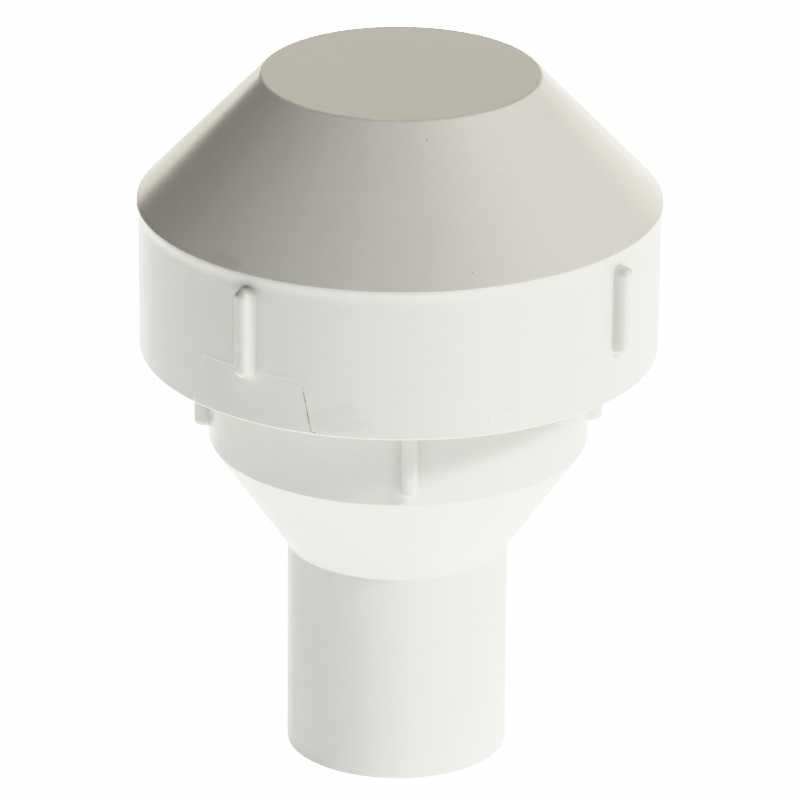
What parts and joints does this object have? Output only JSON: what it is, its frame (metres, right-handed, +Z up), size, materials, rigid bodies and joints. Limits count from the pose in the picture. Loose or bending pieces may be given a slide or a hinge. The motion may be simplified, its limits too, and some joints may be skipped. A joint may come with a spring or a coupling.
{
  "type": "vent cowl",
  "caption": "White plastic mushroom vent cowl: a domed cap over a flared cup on a straight spigot, letting pipe air out downwards and keeping rain out.",
  "frame": {"origin": "centre of the spigot's open end face, on the cowl's axis", "axes": "+Z up along the axis towards the cap; the cup's four lugs stand on -Y, +X, +Y and -X, and -Y is the front"},
  "size_m": [0.1316, 0.1316, 0.1798],
  "materials": {
    "white_plastic": "satin, lightly scuffed",
    "fin_plastic": "satin"
  },
  "bodies": {
    "root": {"cowl_body": "white_plastic", "cowl_cap": "white_plastic", "spacer_fin_1": "fin_plastic", "spacer_fin_2": "fin_plastic", "spacer_fin_3": "fin_plastic", "spacer_fin_4": "fin_plastic"}
  },
  "joints": []
}
